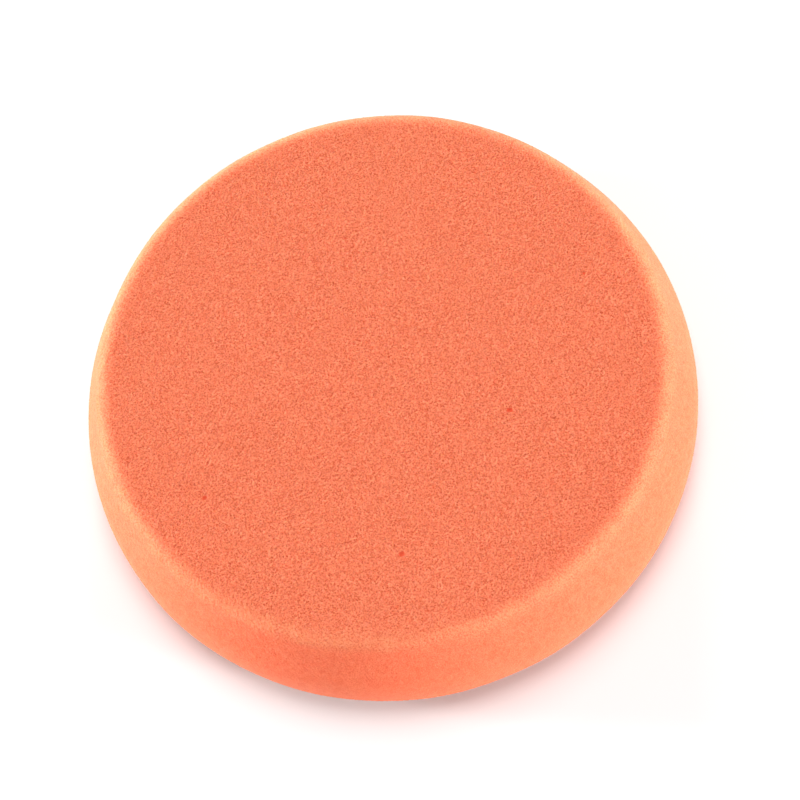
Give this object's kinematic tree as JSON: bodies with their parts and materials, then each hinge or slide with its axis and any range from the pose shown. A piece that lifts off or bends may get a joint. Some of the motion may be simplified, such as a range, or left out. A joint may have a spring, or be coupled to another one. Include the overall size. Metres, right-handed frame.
{
  "type": "foam polishing pad",
  "caption": "Round foam polishing pad with a flat work face, a side that widens to the back, and a hook-and-loop back.",
  "frame": {"origin": "centre of the loop pile's lowest plane, where the pad rests on its back", "axes": "+Z out of the work face, along the pad's axis of spin; X and Y are any two directions across it"},
  "size_m": [0.15, 0.15, 0.029],
  "materials": {
    "foam": "open-cell polyurethane foam, dry and matte, cut face with fine pores",
    "film": "hot-melt laminating film, dull",
    "cloth": "warp-knitted polyester ground, die-cut edge",
    "loops": "brushed loop pile, soft and matte"
  },
  "bodies": {
    "root": {"foam_body": "foam", "adhesive_film": "film", "backing_cloth": "cloth", "loop_pile": "loops"}
  },
  "joints": []
}
